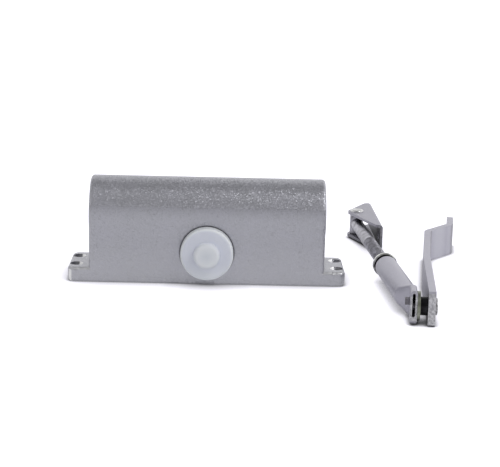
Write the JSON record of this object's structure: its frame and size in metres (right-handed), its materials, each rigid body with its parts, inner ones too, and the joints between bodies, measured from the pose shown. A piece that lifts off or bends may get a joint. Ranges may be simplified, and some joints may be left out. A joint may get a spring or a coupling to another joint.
{
  "type": "door closer",
  "caption": "Surface-mounted rack-and-pinion door closer with an arched body on two screw feet and its folded arm set of cranked main arm, adjustable forearm and pivoting shoe.",
  "frame": {"origin": "centre of the closer body's mounting face, which stands on the floor plane", "axes": "+X along the closer body towards the end with the regulating screws, +Y away from the capped spindle end, +Z out of the mounting face through the body"},
  "size_m": [0.2537, 0.24, 0.063],
  "materials": {
    "body_paint": "silver-grey metallic paint on die-cast aluminium, fine sparkle",
    "plug_steel": "zinc-plated steel",
    "seal_rubber": "black nitrile rubber",
    "bearing_steel": "ground steel",
    "gland_steel": "zinc-plated steel",
    "spring_steel": "oiled spring steel",
    "spindle_steel": "phosphated steel",
    "piston_iron": "machined grey iron",
    "seat_steel": "turned steel",
    "ring_plastic": "sliding ring of plain plastic",
    "valve_brass": "turned brass",
    "cap_plastic": "translucent white moulded plastic, satin",
    "arm_paint": "silver-grey metallic paint on steel",
    "zinc_steel": "zinc-plated steel",
    "washer_steel": "olive-passivated zinc-plated steel",
    "nut_zinc": "bright zinc-plated steel",
    "rivet_steel": "cold-headed steel",
    "pin_steel": "dull turned steel",
    "bush_dark": "blackened steel"
  },
  "bodies": {
    "closer": {"housing": "body_paint", "end_plug_left": "plug_steel", "end_plug_right": "plug_steel", "plug_seal_left": "seal_rubber", "plug_seal_right": "seal_rubber", "spindle_bearing_front": "bearing_steel", "spindle_bearing_rear": "bearing_steel", "spindle_seal_front": "seal_rubber", "spindle_seal_rear": "seal_rubber", "gland_nut_front": "gland_steel", "gland_nut_rear": "gland_steel", "spring_seat": "seat_steel", "return_spring": "spring_steel"},
    "spindle": {"pinion": "spindle_steel"},
    "piston": {"piston": "piston_iron", "piston_rings": "ring_plastic", "check_seat": "seat_steel", "check_ball": "bearing_steel"},
    "cap": {"spindle_cap": "cap_plastic"},
    "valve_front": {"valve_screw_front": "valve_brass", "valve_seal_front": "seal_rubber"},
    "valve_rear": {"valve_screw_rear": "valve_brass", "valve_seal_rear": "seal_rubber"},
    "main_arm": {"main_arm": "arm_paint"},
    "forearm": {"forearm_tube": "arm_paint", "tube_insert": "zinc_steel", "elbow_pin": "pin_steel", "elbow_bush": "bush_dark", "elbow_washer": "washer_steel"},
    "rod": {"threaded_rod": "zinc_steel"},
    "lock_nut": {"lock_nut": "nut_zinc"},
    "shoe": {"shoe_bracket": "arm_paint", "shoe_rivet": "rivet_steel"}
  },
  "joints": [
    {"name": "spindle_turn", "type": "hinge", "parent": "closer", "child": "spindle", "pos_m": [0, 0, 0.02], "axis": [0, -1, 0], "range_deg": [0, 170], "stiffness_Nm_per_rad": 0.4},
    {"name": "piston_slide", "type": "slide", "parent": "closer", "child": "piston", "axis": [-1, 0, 0], "range_m": [0, 0.0223], "deforming": ["return_spring"]},
    {"name": "cap_pull", "type": "slide", "parent": "closer", "child": "cap", "axis": [0, -1, 0], "range_m": [0, 0.03]},
    {"name": "valve_front_turn", "type": "hinge", "parent": "closer", "child": "valve_front", "pos_m": [0.0728, -0.009, 0.0195], "axis": [1, 0, 0], "range_deg": [0, 540]},
    {"name": "valve_rear_turn", "type": "hinge", "parent": "closer", "child": "valve_rear", "pos_m": [0.0728, 0.009, 0.0195], "axis": [1, 0, 0], "range_deg": [0, 540]},
    {"name": "arm_lift", "type": "slide", "parent": "closer", "child": "main_arm", "axis": [0, 0, 1], "range_m": [0, 0.08]},
    {"name": "elbow", "type": "hinge", "parent": "main_arm", "child": "forearm", "pos_m": [0.1289, -0.0937, 0.0102], "axis": [0.9963, -0.0854, 0], "continuous": true},
    {"name": "rod_slide", "type": "slide", "parent": "forearm", "child": "rod", "axis": [-0.0767, 0.9971, 0], "range_m": [0, 0.025]},
    {"name": "lock_nut_turn", "type": "hinge", "parent": "rod", "child": "lock_nut", "pos_m": [0.11172, -0.00289, 0.0102], "axis": [-0.0767, 0.9971, 0], "continuous": true},
    {"name": "shoe_swing", "type": "hinge", "parent": "rod", "child": "shoe", "pos_m": [0.10294, 0.11118, 0.0102], "axis": [0, 0, 1], "range_deg": [-4, 170]}
  ],
  "couplings": [
    {"joint": "piston_slide", "follows": "spindle_turn", "m_per_rad": 0.0075}
  ]
}
